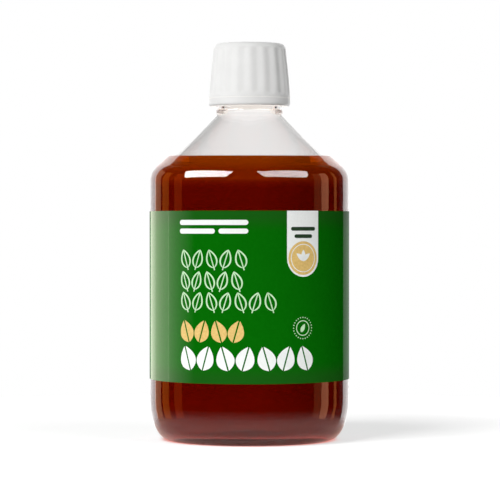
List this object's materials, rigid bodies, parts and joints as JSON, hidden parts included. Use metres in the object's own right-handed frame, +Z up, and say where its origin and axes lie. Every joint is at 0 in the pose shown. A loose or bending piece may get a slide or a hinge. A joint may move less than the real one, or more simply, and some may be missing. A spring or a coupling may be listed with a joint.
{
  "type": "vinegar bottle",
  "caption": "Squat round glass bottle of dark vinegar with a sloped shoulder, short neck, ribbed white screw cap and a wide wrap-round label.",
  "frame": {"origin": "centre of the foot, on the surface that the bottle stands on", "axes": "+Z up along the bottle's axis, the middle of the label faces -Y"},
  "size_m": [0.0816, 0.0815, 0.1608],
  "materials": {
    "glass": "clear, smooth bottle glass",
    "vinegar": "clear dark red-brown liquid",
    "label": "green printed label with a satin coat",
    "cap": "satin white moulded plastic"
  },
  "bodies": {
    "root": {"bottle": "glass", "vinegar": "vinegar", "label": "label", "tamper_band": "cap", "cap": "cap"}
  },
  "joints": []
}
